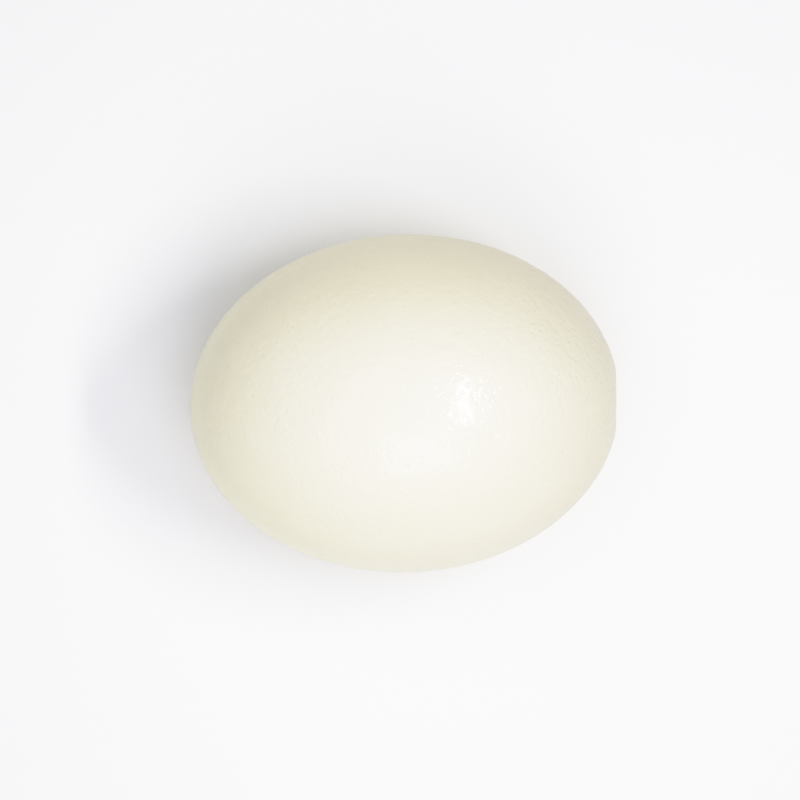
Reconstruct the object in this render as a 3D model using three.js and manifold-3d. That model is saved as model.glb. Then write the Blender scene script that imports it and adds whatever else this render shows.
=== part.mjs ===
// An ostrich egg lying on its side, in millimetres, +Z up.
//
// The shell is one closed body of revolution about its long axis, X, a little fuller towards +X.
// Two small flats interrupt the curve: the spot it rests on, underneath, and one on the full end,
// which isn't quite square to the long axis. The origin is on the resting plane, under the middle
// of the egg's bounding box.

import * as THREE from "three";
import { mergeVertices, toCreasedNormals } from "three/addons/utils/BufferGeometryUtils.js";
import Module from "manifold-3d";

// Driving dimensions
const LENGTH = 155; // pole to pole, as if the full end had no flat
const BREADTH = 122; // across the girth, the same up and sideways
const TAPER = 0.006; // share by which the +X half is fuller and the -X half slimmer
const REST_FLAT_DEPTH = 0.6; // taken off underneath, which leaves a spot about 17 by 22 mm
const END_FLAT_DEPTH = 1.45; // taken off the full end, which leaves a disc about 24 mm across
const END_FLAT_SKEW = THREE.MathUtils.degToRad(2.4); // the end flat faces this far towards -Y

// Fineness of the facets
const RINGS = 46; // from pole to pole
const SEGMENTS = 92; // round the long axis
const CREASE = THREE.MathUtils.degToRad(6); // a sharper edge than this, as round a flat, isn't smoothed

const SHELL_COLOUR = 0xece8d6; // warm ivory
const SHELL_ROUGHNESS = 0.42; // a dull porcelain gloss

const halfLength = LENGTH / 2;
const halfBreadth = BREADTH / 2;

// Radius of the shell at a polar angle, which runs from 0 at the +X pole to PI at the -X pole.
function ringRadius(angle) {
  return halfBreadth * Math.sin(angle) * (1 + TAPER * Math.cos(angle));
}

// Half the outline, from the -X pole to the +X pole, as a lathe wants it: radius, then height.
function shellProfile() {
  const points = [];
  for (let ring = 0; ring <= RINGS; ring++) {
    const angle = Math.PI * (1 - ring / RINGS);
    const onAxis = ring === 0 || ring === RINGS;
    points.push(new THREE.Vector2(onAxis ? 0 : ringRadius(angle), halfLength * Math.cos(angle)));
  }
  return points;
}

// The whole shell without its flats, turned so that the lathe's axis lies along X.
function shellGeometry() {
  return new THREE.LatheGeometry(shellProfile(), SEGMENTS).rotateZ(-Math.PI / 2);
}

// How far the shell reaches in the direction that the end flat faces.
function endReach() {
  return Math.hypot(halfLength * Math.cos(END_FLAT_SKEW), halfBreadth * Math.sin(END_FLAT_SKEW));
}

// A block whose upper face is the plane that the egg rests on.
function restCutter() {
  const top = -halfBreadth + REST_FLAT_DEPTH;
  return new THREE.BoxGeometry(LENGTH, BREADTH, BREADTH).translate(0, 0, top - BREADTH / 2);
}

// A block whose near face is the plane of the end flat, turned about Z by the skew.
function endCutter() {
  const near = endReach() - END_FLAT_DEPTH;
  const block = new THREE.BoxGeometry(LENGTH, 2 * BREADTH, 2 * BREADTH);
  return block.translate(near + LENGTH / 2, 0, 0).rotateZ(-END_FLAT_SKEW);
}

const wasm = await Module();
wasm.setup();

// A closed three.js geometry as a manifold-3d solid.
function toSolid(geometry) {
  const bare = geometry.clone();
  bare.deleteAttribute("normal");
  bare.deleteAttribute("uv");
  const merged = mergeVertices(bare, 1e-4);
  return new wasm.Manifold(
    new wasm.Mesh({
      numProp: 3,
      vertProperties: merged.attributes.position.array,
      triVerts: new Uint32Array(merged.index.array),
    }),
  );
}

// A manifold-3d solid as a three.js geometry, shaded smooth but for the rims of the flats.
function toGeometry(solid) {
  const mesh = solid.getMesh();
  const geometry = new THREE.BufferGeometry();
  geometry.setAttribute("position", new THREE.BufferAttribute(mesh.vertProperties, 3));
  geometry.setIndex(new THREE.BufferAttribute(mesh.triVerts, 1));
  return toCreasedNormals(geometry, CREASE);
}

// The egg with its flats cut, still centred on the shell's own middle.
function eggGeometry() {
  const shell = toSolid(shellGeometry());
  return toGeometry(shell.subtract(toSolid(restCutter())).subtract(toSolid(endCutter())));
}

const shellMaterial = new THREE.MeshStandardMaterial({
  color: SHELL_COLOUR,
  roughness: SHELL_ROUGHNESS,
  metalness: 0,
});

// Stands the egg on the origin plane, with its bounding box centred over the origin.
const egg = new THREE.Mesh(eggGeometry(), shellMaterial);
egg.name = "egg";
egg.geometry.computeBoundingBox();
const box = egg.geometry.boundingBox;
egg.position.set(-(box.min.x + box.max.x) / 2, -(box.min.y + box.max.y) / 2, -box.min.z);

const ostrichEgg = new THREE.Group();
ostrichEgg.name = "ostrich_egg";
ostrichEgg.add(egg);

export default ostrichEgg;
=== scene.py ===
"""A whole ostrich egg on a pale floor, laid out as a Blender add-on and run as a script.

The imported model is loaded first, as a fixed frame. The shell then stands in for the plain node
"egg": the same body of revolution with the same two small flats, now with rounded rims, dimples,
pits, pores and a faint waviness. Everything is in metres, +Z up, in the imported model's own frame.
"""

import math

import bpy
import numpy as np
from bpy.props import FloatProperty, FloatVectorProperty, IntProperty, PointerProperty
from mathutils import Matrix, Vector


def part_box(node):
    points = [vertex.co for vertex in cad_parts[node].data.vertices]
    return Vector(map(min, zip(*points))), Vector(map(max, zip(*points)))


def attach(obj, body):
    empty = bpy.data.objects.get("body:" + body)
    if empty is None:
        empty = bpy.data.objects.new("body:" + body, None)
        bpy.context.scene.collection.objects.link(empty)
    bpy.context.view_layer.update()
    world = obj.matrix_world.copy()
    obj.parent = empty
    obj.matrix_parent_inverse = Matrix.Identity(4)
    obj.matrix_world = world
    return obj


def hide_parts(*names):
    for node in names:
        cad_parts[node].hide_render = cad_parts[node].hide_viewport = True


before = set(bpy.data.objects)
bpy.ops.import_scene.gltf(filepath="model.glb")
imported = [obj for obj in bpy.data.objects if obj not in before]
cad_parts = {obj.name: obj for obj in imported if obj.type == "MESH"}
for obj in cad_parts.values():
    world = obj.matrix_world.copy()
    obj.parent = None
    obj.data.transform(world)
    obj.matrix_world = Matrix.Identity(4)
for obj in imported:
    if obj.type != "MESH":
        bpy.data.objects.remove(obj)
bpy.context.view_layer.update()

bl_info = {
    "name": "Ostrich Egg",
    "version": (1, 0, 0),
    "blender": (4, 5, 0),
    "location": "View3D > Sidebar > Egg",
    "description": "Builds a whole ostrich egg and the pale stage that it lies on",
    "category": "Add Mesh",
}

BODY = "root"
NODE = "egg"
MM = 0.001

NODE_LOW, NODE_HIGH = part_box(NODE)
NODE_SIZE = NODE_HIGH - NODE_LOW

# The picture is a square of IMAGE_SIDE pixels. In it the shell's middle lies at SHELL_MIDDLE, in
# pixels from the left and from the top, and half of the shell's length spans HALF_LENGTH_SEEN pixels.
IMAGE_SIDE = 800
SHELL_MIDDLE = (405.0, 403.6)
HALF_LENGTH_SEEN = 215.2
SENSOR = 36 * MM


def linear(code):
    """An sRGB hex colour, such as "E9E3CD", as linear red, green and blue and an alpha of 1."""
    channels = np.array([int(code[i : i + 2], 16) for i in (0, 2, 4)]) / 255
    low = channels / 12.92
    high = ((channels + 0.055) / 1.055) ** 2.4
    return (*np.where(channels <= 0.04045, low, high).tolist(), 1.0)


# ---------------------------------------------------------------- sizes and colours


def length_property(name, description, default):
    """A size in metres."""
    return FloatProperty(
        name=name, description=description, default=default, unit="LENGTH", subtype="DISTANCE", precision=5
    )


def angle_property(name, description, degrees):
    """An angle, given in degrees."""
    return FloatProperty(
        name=name, description=description, default=math.radians(degrees), unit="ROTATION", subtype="ANGLE"
    )


def colour_property(name, description, code):
    """A colour, given as sRGB hex."""
    return FloatVectorProperty(
        name=name, description=description, default=linear(code), size=4, subtype="COLOR"
    )


class OstrichEggShell(bpy.types.PropertyGroup):
    """Sizes and colours of the shell."""

    length: length_property("Length", "Pole to pole, as if the full end had no flat", 155 * MM)
    breadth: length_property("Breadth", "Across the girth", NODE_SIZE.y)
    taper: FloatProperty(
        name="Taper",
        description="Share by which the +X half is fuller and the -X half slimmer",
        default=0.006,
    )
    rest_flat_depth: length_property(
        "Resting flat", "What the flat underneath takes off the curve", NODE_SIZE.y - NODE_SIZE.z
    )
    end_flat_depth: length_property(
        "End flat", "What the flat on the full end takes off the curve", 1.45 * MM
    )
    end_flat_skew: angle_property("End flat skew", "How far the end flat faces towards -Y", 2.4)
    rim: length_property("Rim rounding", "Height over which the rim of a flat is rounded", 0.4 * MM)
    dimple_spacing: length_property(
        "Dimple spacing", "Side of the cubes of space that hold one dimple each", 3.4 * MM
    )
    dimple_width: length_property(
        "Dimple width", "Width of a dimple where it has about a third of its depth", 2.4 * MM
    )
    dimple_depth: length_property(
        "Dimple depth", "Depth of a dimple whose middle lies right at the surface", 0.05 * MM
    )
    wave_height: length_property(
        "Wave height", "Typical height of the shell's faint waves", 0.02 * MM
    )
    pit_spacing: length_property("Pit spacing", "Typical distance between shallow pits", 2.6 * MM)
    pit_width: length_property("Pit width", "Widest that a shallow pit gets", 2.6 * MM)
    pit_depth: length_property("Pit depth", "Deepest that a pit of the girth gets", 0.09 * MM)
    pore_spacing: length_property("Pore spacing", "Typical distance between pores", 2.4 * MM)
    pore_width: length_property("Pore width", "Widest that a pore gets", 1.0 * MM)
    pore_depth: length_property("Pore depth", "Deepest that a pore gets", 0.04 * MM)
    cells: IntProperty(
        name="Cells",
        description="Quads along each side of the six patches that make up the shell",
        default=127,
        min=8,
    )
    ivory: colour_property("Ivory", "The shell's main colour", "DBD5B9")
    cream: colour_property("Cream", "The slightly yellower colour of its clouds", "D7CFB1")
    tan: colour_property("Tan", "The colour of the sparse specks", "B4A377")


class OstrichEggStage(bpy.types.PropertyGroup):
    """Sizes and colours of the floor, the lights and the camera."""

    floor_side: length_property("Floor side", "Side of the square floor", 1.6)
    floor_white: colour_property("Floor white", "The floor's colour", "F5F3ED")
    sky: FloatProperty(
        name="Sky", description="Brightness of the even light from all round", default=0.035
    )
    backdrop: FloatProperty(
        name="Backdrop", description="Brightness of what the camera sees past the floor", default=1.0
    )
    overhead: FloatProperty(
        name="Overhead", description="Brightness of the broad light overhead", default=3.45
    )
    overhead_colour: colour_property("Overhead colour", "Cool, as from an open sky", "D8DDFF")
    side_strip: FloatProperty(
        name="Side strip", description="Brightness of the narrow light towards +X", default=47.2
    )
    side_colour: colour_property("Side strip colour", "White", "FFFFFE")
    front_strip: FloatProperty(
        name="Front strip", description="Brightness of the strip towards -Y", default=6.13
    )
    front_colour: colour_property("Front strip colour", "Slightly cool", "F5F1FF")
    screens: FloatProperty(
        name="Screens", description="Brightness of the low screens on the other sides", default=2.58
    )
    screen_colour: colour_property("Screen colour", "Slightly warm, as from the walls of a room", "FAFFEE")
    rear_colour: colour_property("Rear screen colour", "Warmer, as from wood behind the paper", "FFED90")
    camera_distance: length_property("Camera distance", "From the camera to the shell's middle", 3.0)
    camera_roll: angle_property(
        "Camera roll", "Turn of the camera about its line of sight, so that the +X end is higher", -2.4
    )


# ---------------------------------------------------------------- the shell's surface


def shell_middle(shell):
    """The middle of the shell: half a length from the -X pole, and half a breadth below the top."""
    return np.array(
        [
            NODE_LOW.x + shell.length / 2,
            (NODE_LOW.y + NODE_HIGH.y) / 2,
            NODE_HIGH.z - shell.breadth / 2,
        ]
    )


def sphere_grid(cells):
    """Unit directions all round, and the quads between them, from six square patches.

    A patch covers one side of a cube. Its two parameters are angles from -45 to 45 degrees, and
    their tangents, with 1 for the side's own axis, give a direction, which is scaled to length 1.
    Points that patches share are merged, which closes the surface.
    """
    steps = np.tan(np.linspace(-np.pi / 4, np.pi / 4, cells + 1))
    across, along = np.meshgrid(steps, steps, indexing="ij")
    patches = []
    for axis in range(3):
        for side in (1.0, -1.0):
            patch = np.empty((cells + 1, cells + 1, 3))
            patch[..., axis] = side
            patch[..., (axis + 1) % 3] = across * side  # the sign keeps the faces outward
            patch[..., (axis + 2) % 3] = along
            patches.append(patch)
    directions = np.stack(patches).reshape(-1, 3)
    directions /= np.linalg.norm(directions, axis=1, keepdims=True)
    index = np.arange(len(directions)).reshape(6, cells + 1, cells + 1)
    corners = (index[:, :-1, :-1], index[:, 1:, :-1], index[:, 1:, 1:], index[:, :-1, 1:])
    quads = np.stack(corners, axis=-1).reshape(-1, 4)
    _, first, merged = np.unique(
        np.round(directions, 8), axis=0, return_index=True, return_inverse=True
    )
    if len(first) != 6 * cells**2 + 2:
        raise RuntimeError("The patches of the shell don't meet along their edges")
    return directions[first], merged.reshape(-1)[quads]


def smooth_shell(shell, direction):
    """The shell before its flats and relief: points round its middle, and outward normals.

    X is half the length times the direction's X. Y and Z are half the breadth times the
    direction's own, times 1 + taper * X. The normals are those of the ellipsoid without the taper,
    which is too slight to turn them: each coordinate over its half axis squared, scaled to 1.
    """
    half = np.array([shell.length, shell.breadth, shell.breadth]) / 2
    points = direction * half
    points[:, 1:] *= 1 + shell.taper * direction[:, :1]
    normals = direction / half
    return points, normals / np.linalg.norm(normals, axis=1, keepdims=True)


def press_flat(points, facing, reach, rim):
    """Presses the points that lie past a plane back onto it, along its normal, facing.

    A point's height along facing becomes the lower of itself and reach. Within rim of reach, rim
    / 4 * (1 - |height - reach| / rim)^2 is taken off as well, which rounds the corner.
    """
    height = points @ facing
    overlap = np.clip(1 - np.abs(height - reach) / rim, 0, None)
    pressed = np.minimum(height, reach) - rim / 4 * overlap**2
    return points + np.outer(pressed - height, facing)


def flattened_shell(shell, points):
    """Both flats: straight down, and on the +X end, turned a little towards -Y.

    Each plane lies as far out as the shell reaches in that direction, less the flat's depth. The
    ellipse reaches sqrt((half length * cos)^2 + (half breadth * sin)^2) at the end flat's skew.
    """
    down = np.array([0.0, 0.0, -1.0])
    points = press_flat(points, down, shell.breadth / 2 - shell.rest_flat_depth, shell.rim)
    cos, sin = math.cos(shell.end_flat_skew), math.sin(shell.end_flat_skew)
    reach = math.hypot(shell.length / 2 * cos, shell.breadth / 2 * sin) - shell.end_flat_depth
    return press_flat(points, np.array([cos, -sin, 0.0]), reach, shell.rim)


def dimple_field(points, spacing, width, rng):
    """How far down a dimple each point lies, from 0 on the open shell to 1 at a full one's bottom.

    Space is cut into cubes, and each holds one dimple at a random place. A dimple is a bell round
    that place, exp(-(distance / half the width)^2), and the deepest of those around a point counts.
    A dimple whose place lies off the surface is a shallower one.
    """
    table = 64  # places repeat after this many cubes
    places = rng.random((table, table, table, 3))
    cell = np.floor(points / spacing).astype(int)
    depth = np.zeros(len(points))
    for step in np.ndindex(3, 3, 3):
        near = cell + np.array(step) - 1
        x, y, z = (near % table).T
        distance = np.linalg.norm((near + places[x, y, z]) * spacing - points, axis=1)
        depth = np.maximum(depth, np.exp(-((2 * distance / width) ** 2)))
    return depth


def wave_field(points, shortest, longest, count, rng):
    """Uneven heights with a spread of 1: sine waves in random directions, added up.

    Each wave is sin(2 pi * distance along its direction / wavelength + phase). The sum is
    multiplied by sqrt(2 / count).
    """
    facing = rng.normal(size=(count, 3))
    facing /= np.linalg.norm(facing, axis=1, keepdims=True)
    wavelength = rng.uniform(shortest, longest, count)
    phase = rng.uniform(0, 2 * np.pi, count)
    total = np.zeros(len(points))
    for k in range(count):
        total += np.sin(points @ facing[k] * (2 * np.pi / wavelength[k]) + phase[k])
    return total * math.sqrt(2 / count)


def shell_mesh(shell):
    """The finished shell as a mesh.

    The relief only goes inward from the flattened shell: dimples, fine waves of 3 to 7 mm, and
    broad ones of 12 to 30 mm, less the highest crest of both.
    """
    rng = np.random.default_rng(11)
    direction, quads = sphere_grid(shell.cells)
    smooth, normals = smooth_shell(shell, direction)
    dimples = dimple_field(smooth, shell.dimple_spacing, shell.dimple_width, rng)
    waves = wave_field(smooth, 3 * MM, 7 * MM, 60, rng)
    waves += wave_field(smooth, 12 * MM, 30 * MM, 40, rng)
    relief = (waves - waves.max()) * shell.wave_height - dimples * shell.dimple_depth
    points = flattened_shell(shell, smooth) + normals * relief[:, None] + shell_middle(shell)
    mesh = bpy.data.meshes.new("eggshell")
    mesh.vertices.add(len(points))
    mesh.vertices.foreach_set("co", points.astype(np.float32).ravel())
    mesh.loops.add(quads.size)
    mesh.loops.foreach_set("vertex_index", quads.astype(np.int32).ravel())
    mesh.polygons.add(len(quads))
    mesh.polygons.foreach_set("loop_start", np.arange(0, quads.size, 4, dtype=np.int32))
    mesh.polygons.foreach_set("use_smooth", np.ones(len(quads), dtype=bool))
    mesh.update(calc_edges=True)
    if mesh.validate():
        raise RuntimeError("The shell's mesh had faults")
    return mesh


# ---------------------------------------------------------------- materials


def add_node(tree, kind, inputs=None, **settings):
    """Adds a node. settings are the node's own. inputs maps a socket's name or number to a value,
    or to another node's output, which is linked to it."""
    node = tree.nodes.new(kind)
    for name, value in settings.items():
        setattr(node, name, value)
    for socket, value in (inputs or {}).items():
        if isinstance(value, bpy.types.NodeSocket):
            tree.links.new(value, node.inputs[socket])
        else:
            node.inputs[socket].default_value = value
    return node


def new_material(name):
    """A material with an empty node tree."""
    material = bpy.data.materials.new(name)
    material.use_nodes = True
    material.node_tree.nodes.clear()
    return material


def add_pits(tree, place, spacing, width):
    """How far down a pit each place lies, from 0 outside to 1 at the middle of a whole one."""
    cell = add_node(tree, "ShaderNodeTexVoronoi", {"Vector": place, "Scale": 1 / spacing})
    share = add_node(
        tree,
        "ShaderNodeMapRange",
        {
            "Value": cell.outputs["Distance"],
            "From Min": 0.0,
            "From Max": width / 2 / spacing,
            "To Min": 1.0,
            "To Max": 0.0,
        },
        interpolation_type="SMOOTHSTEP",
    )
    return share.outputs["Result"]


def add_shell_colour(tree, shell, place):
    """The shell's colour at each place: ivory with faint clouds of cream and a few tan specks."""
    # Clouds of cream, about 25 mm across.
    cloud = add_node(
        tree,
        "ShaderNodeTexNoise",
        {"Vector": place, "Scale": 1 / (25 * MM), "Detail": 3.0, "Roughness": 0.6},
    )
    clouded = add_node(
        tree,
        "ShaderNodeMix",
        {"Factor": cloud.outputs["Fac"], "A": tuple(shell.ivory), "B": tuple(shell.cream)},
        data_type="RGBA",
    )

    # Specks of up to 0.7 mm, in the few cells of 7 mm whose middle lies at the surface.
    speck = add_node(tree, "ShaderNodeTexVoronoi", {"Vector": place, "Scale": 1 / (7 * MM)})
    speck_share = add_node(
        tree,
        "ShaderNodeMapRange",
        {
            "Value": speck.outputs["Distance"],
            "From Min": 0.03,
            "From Max": 0.055,
            "To Min": 0.4,
            "To Max": 0.0,
        },
    )
    speckled = add_node(
        tree,
        "ShaderNodeMix",
        {
            "Factor": speck_share.outputs["Result"],
            "A": clouded.outputs["Result"],
            "B": tuple(shell.tan),
        },
        data_type="RGBA",
    )
    return speckled.outputs["Result"]


def add_shell_relief(tree, shell, place):
    """The relief that is finer than the mesh: pits, pores and grain, each with a depth of its own.

    Returns the normal that it gives the surface, and how far down a pore each place lies.
    """
    # A warp of up to 1.5 mm every 2 mm, which draws the pits out into short, uneven strokes.
    warp = add_node(
        tree, "ShaderNodeTexNoise", {"Vector": place, "Scale": 1 / (2 * MM), "Detail": 1.0}
    )
    warped = add_node(
        tree,
        "ShaderNodeVectorMath",
        {0: warp.outputs["Color"], 1: (3 * MM, 3 * MM, 3 * MM), 2: place},
        operation="MULTIPLY_ADD",
    ).outputs["Vector"]

    # Shallow pits and smaller pores, each in a cell of its own. One whose middle lies off the
    # surface is a smaller and shallower one.
    pit = add_pits(tree, warped, shell.pit_spacing, shell.pit_width)
    pore = add_pits(tree, warped, shell.pore_spacing, shell.pore_width)

    # Pits deepen towards the full end, +X, from 42 to 60 mm along, up to 1.9 times.
    along = add_node(tree, "ShaderNodeSeparateXYZ", {"Vector": place})
    growth = add_node(
        tree,
        "ShaderNodeMapRange",
        {
            "Value": along.outputs["X"],
            "From Min": 42 * MM,
            "From Max": 60 * MM,
            "To Min": 1.0,
            "To Max": 1.9,
        },
    )
    pit = add_node(
        tree, "ShaderNodeMath", {0: pit, 1: growth.outputs["Result"]}, operation="MULTIPLY"
    ).outputs["Value"]

    # Grain of the glaze, 1.2 mm and 11 micrometres high. The real grain is finer, and is drawn this
    # coarse so that it shows.
    grain = add_node(
        tree,
        "ShaderNodeTexNoise",
        {"Vector": place, "Scale": 1 / (1.2 * MM), "Detail": 2.0, "Roughness": 0.5},
    )
    height = 0.0
    for share, depth in (
        (pit, -shell.pit_depth),
        (pore, -shell.pore_depth),
        (grain.outputs["Fac"], 0.011 * MM),
    ):
        height = add_node(
            tree, "ShaderNodeMath", {0: share, 1: depth, 2: height}, operation="MULTIPLY_ADD"
        ).outputs["Value"]
    bump = add_node(
        tree, "ShaderNodeBump", {"Height": height, "Distance": 1.0, "Strength": 1.0}
    )
    return bump.outputs["Normal"], pore


def eggshell_material(shell):
    """Ostrich eggshell: calcite under a thin natural glaze, polished in the nest.

    The body gives a broad, faint gloss, and the glaze a tighter and brighter one, which the pits
    and pores break up.
    """
    material = new_material("ostrich eggshell, naturally glazed")
    tree = material.node_tree
    place = add_node(tree, "ShaderNodeTexCoord").outputs["Object"]
    normal, pore = add_shell_relief(tree, shell, place)

    # The glaze is thinner in the pores, which stay duller.
    glaze = add_node(
        tree,
        "ShaderNodeMapRange",
        {"Value": pore, "From Min": 0.0, "From Max": 0.4, "To Min": 0.3, "To Max": 0.15},
    )
    surface = add_node(
        tree,
        "ShaderNodeBsdfPrincipled",
        {
            "Base Color": add_shell_colour(tree, shell, place),
            "Roughness": 0.45,
            "IOR": 1.5,
            "Specular IOR Level": 0.25,
            "Coat Weight": glaze.outputs["Result"],
            "Coat Roughness": 0.12,
            "Coat IOR": 1.66,
            "Normal": normal,
            "Coat Normal": normal,
        },
    )
    add_node(tree, "ShaderNodeOutputMaterial", {"Surface": surface.outputs["BSDF"]})
    return material


def floor_material(stage):
    """Matt white paper, which has no gloss, so that the shadows are all that shows on it."""
    material = new_material("matt white paper")
    surface = add_node(
        material.node_tree,
        "ShaderNodeBsdfDiffuse",
        {"Color": tuple(stage.floor_white), "Roughness": 0.0},
    )
    add_node(material.node_tree, "ShaderNodeOutputMaterial", {"Surface": surface.outputs["BSDF"]})
    return material


# ---------------------------------------------------------------- the stage


def add_floor(scene, stage):
    """A square, level sheet under the egg: two parameters, X and Y, each from -side/2 to side/2."""
    half = stage.floor_side / 2
    corners = [(-half, -half, 0.0), (half, -half, 0.0), (half, half, 0.0), (-half, half, 0.0)]
    mesh = bpy.data.meshes.new("floor")
    mesh.from_pydata(corners, [], [(0, 1, 2, 3)])
    mesh.materials.append(floor_material(stage))
    floor = bpy.data.objects.new("floor", mesh)
    scene.collection.objects.link(floor)


def add_sky(scene, stage):
    """The same faint light from all round, and a pale backdrop that only the camera sees.

    The world's strength is sky, and for the camera's own rays sky + backdrop.
    """
    world = bpy.data.worlds.new("pale sky")
    world.use_nodes = True
    tree = world.node_tree
    tree.nodes.clear()
    seen = add_node(tree, "ShaderNodeLightPath").outputs["Is Camera Ray"]
    strength = add_node(
        tree, "ShaderNodeMath", {0: seen, 1: stage.backdrop, 2: stage.sky}, operation="MULTIPLY_ADD"
    )
    light = add_node(
        tree,
        "ShaderNodeBackground",
        {"Color": linear("FCFCFF"), "Strength": strength.outputs["Value"]},
    )
    add_node(tree, "ShaderNodeOutputWorld", {"Surface": light.outputs["Background"]})
    scene.world = world


def add_softbox(scene, name, middle, place, size, brightness, colour, mirrored):
    """A rectangular light that faces middle, and that the camera doesn't see. mirrored tells
    whether it shows in glossy surfaces.

    place is how many degrees it stands from straight up, its compass direction in degrees from +X
    towards +Y, and its distance. size is its level width and its sloping height. brightness is
    what its face gives off, where 1 is white, and so its power is pi * area * brightness.
    """
    tilt, turn, distance = place
    width, height = size
    data = bpy.data.lights.new(name, "AREA")
    data.shape = "RECTANGLE"
    data.size = width
    data.size_y = height
    data.energy = math.pi * width * height * brightness
    data.color = colour[:3]
    light = bpy.data.objects.new(name, data)
    rise, turn = math.radians(tilt), math.radians(turn)
    away = Vector(
        (math.sin(rise) * math.cos(turn), math.sin(rise) * math.sin(turn), math.cos(rise))
    )
    level = Vector((-math.sin(turn), math.cos(turn), 0))
    slope = away.cross(level)
    facing = Matrix((level, slope, away)).transposed().to_4x4()
    light.matrix_world = Matrix.Translation(Vector(middle) + away * distance) @ facing
    light.visible_camera = False
    light.visible_glossy = mirrored
    scene.collection.objects.link(light)


def add_lights(scene, stage, middle):
    """Two strips, which cast the two soft-edged shadows and show in the glaze, a broad light
    overhead, and low screens that lighten the egg's edge on every side but +X.

    The screens are listed by the direction in which they stand, in degrees from +X towards +Y.
    Behind the egg, towards +Y, stands the warmer one. share is of the screens' brightness.
    """
    for name, place, size, brightness, colour, mirrored in (
        ("side_strip", (24.9, -2.4, 0.68), (0.326, 0.062), stage.side_strip, stage.side_colour, True),
        ("front_strip", (33, -82, 0.8), (0.4, 0.32), stage.front_strip, stage.front_colour, True),
        ("overhead", (0, 0, 0.5), (0.5, 0.5), stage.overhead, stage.overhead_colour, False),
    ):
        add_softbox(scene, name, middle, place, size, brightness, colour, mirrored)
    for turn, share, colour in (
        (90, 0.38, stage.rear_colour),
        (135, 1.0, stage.screen_colour),
        (225, 1.0, stage.screen_colour),
        (270, 0.48, stage.screen_colour),
    ):
        place, brightness = (80, turn, 0.8), share * stage.screens
        add_softbox(scene, f"screen_{turn}", middle, place, (0.8, 0.3), brightness, colour, False)


def add_camera(scene, stage, shell, middle):
    """A camera straight above, framed so that the shell's middle and length fall where they belong.

    Seen from a distance, half the length spans focal length * half length / sqrt(distance^2 -
    half breadth^2) on the sensor, and this gives the focal length.
    """
    half_length, half_breadth = shell.length / 2, shell.breadth / 2
    spanned = SENSOR * HALF_LENGTH_SEEN / IMAGE_SIDE
    focal = spanned * math.sqrt(stage.camera_distance**2 - half_breadth**2) / half_length
    data = bpy.data.cameras.new("camera")
    data.sensor_width = SENSOR / MM
    data.lens = focal / MM
    camera = bpy.data.objects.new("camera", data)
    camera.rotation_euler = (0, 0, stage.camera_roll)
    turned = camera.rotation_euler.to_matrix()
    pixel = stage.camera_distance * SENSOR / focal / IMAGE_SIDE
    right = (SHELL_MIDDLE[0] - IMAGE_SIDE / 2) * pixel
    up = (IMAGE_SIDE / 2 - SHELL_MIDDLE[1]) * pixel
    camera.location = Vector(middle) + turned @ Vector((-right, -up, stage.camera_distance))
    scene.collection.objects.link(camera)
    scene.camera = camera


def set_tone(scene):
    """A camera's tone, which keeps the palest parts from turning flat white.

    Brightness stays as it is up to a knee, and above it nears white: knee + (1 - knee) * (1 -
    exp(-(brightness - knee) / (1 - knee))).
    """
    knee, brightest, steps = 0.66, 2.5, 14
    view = scene.view_settings
    view.view_transform = "Standard"
    view.use_curve_mapping = True
    mapping = view.curve_mapping
    mapping.white_level = (brightest, brightest, brightest)
    curve = mapping.curves[3]
    for brightness in np.linspace(knee, brightest, steps)[:-1]:
        shoulder = (1 - knee) * (1 - math.exp(-(brightness - knee) / (1 - knee)))
        curve.points.new(brightness / brightest, knee + shoulder)
    mapping.update()


# ---------------------------------------------------------------- operators, panel and main


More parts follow.
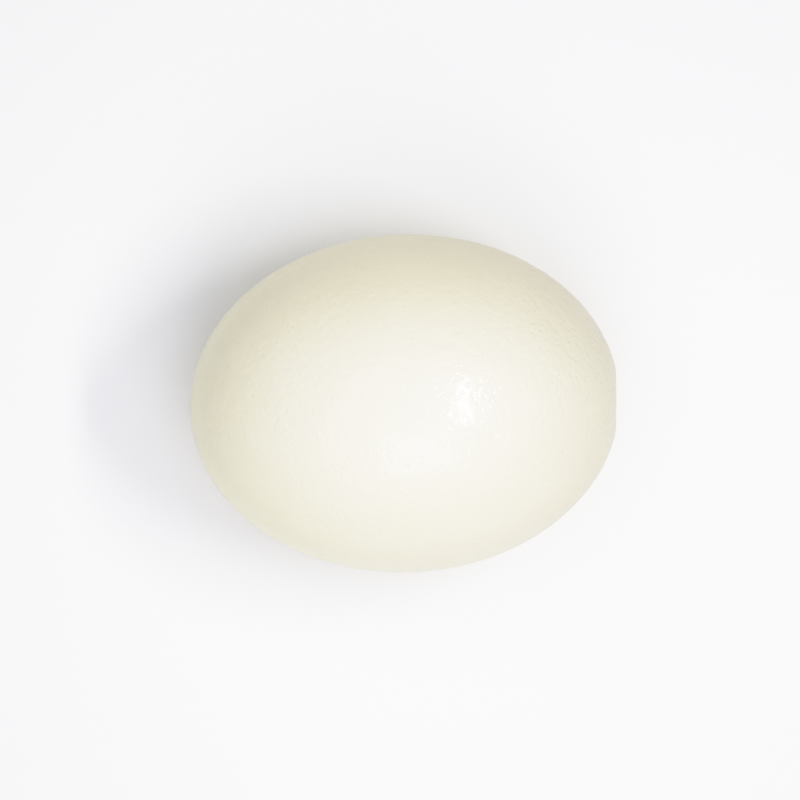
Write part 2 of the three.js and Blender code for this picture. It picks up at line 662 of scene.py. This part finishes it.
class OSTRICH_EGG_OT_shell(bpy.types.Operator):
    """Build the eggshell in place of the plain node"""

    bl_idname = "ostrich_egg.shell"
    bl_label = "Eggshell"
    bl_options = {"REGISTER", "UNDO"}

    def execute(self, context):
        shell = context.scene.ostrich_egg_shell
        mesh = shell_mesh(shell)
        mesh.materials.append(eggshell_material(shell))
        piece = bpy.data.objects.new("eggshell", mesh)
        context.scene.collection.objects.link(piece)
        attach(piece, BODY)
        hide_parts(NODE)
        return {"FINISHED"}


class OSTRICH_EGG_OT_stage(bpy.types.Operator):
    """Add the pale floor, the soft lights and the camera"""

    bl_idname = "ostrich_egg.stage"
    bl_label = "Stage"
    bl_options = {"REGISTER", "UNDO"}

    def execute(self, context):
        scene = context.scene
        shell, stage = scene.ostrich_egg_shell, scene.ostrich_egg_stage
        middle = shell_middle(shell)
        add_floor(scene, stage)
        add_sky(scene, stage)
        add_lights(scene, stage, middle)
        add_camera(scene, stage, shell, middle)
        set_tone(scene)
        return {"FINISHED"}


class OSTRICH_EGG_PT_panel(bpy.types.Panel):
    """Lists the operators and the sizes and colours that they use"""

    bl_idname = "OSTRICH_EGG_PT_panel"
    bl_label = "Ostrich Egg"
    bl_space_type = "VIEW_3D"
    bl_region_type = "UI"
    bl_category = "Egg"

    def draw(self, context):
        scene = context.scene
        for operator, group in (
            (OSTRICH_EGG_OT_shell, scene.ostrich_egg_shell),
            (OSTRICH_EGG_OT_stage, scene.ostrich_egg_stage),
        ):
            box = self.layout.box()
            box.operator(operator.bl_idname)
            for name in group.__annotations__:
                box.prop(group, name)


CLASSES = (
    OstrichEggShell,
    OstrichEggStage,
    OSTRICH_EGG_OT_shell,
    OSTRICH_EGG_OT_stage,
    OSTRICH_EGG_PT_panel,
)


def register():
    for item in CLASSES:
        bpy.utils.register_class(item)
    bpy.types.Scene.ostrich_egg_shell = PointerProperty(type=OstrichEggShell)
    bpy.types.Scene.ostrich_egg_stage = PointerProperty(type=OstrichEggStage)


def unregister():
    del bpy.types.Scene.ostrich_egg_stage
    del bpy.types.Scene.ostrich_egg_shell
    for item in reversed(CLASSES):
        bpy.utils.unregister_class(item)


def main():
    register()
    bpy.ops.ostrich_egg.shell()
    bpy.ops.ostrich_egg.stage()


if __name__ == "__main__":
    main()
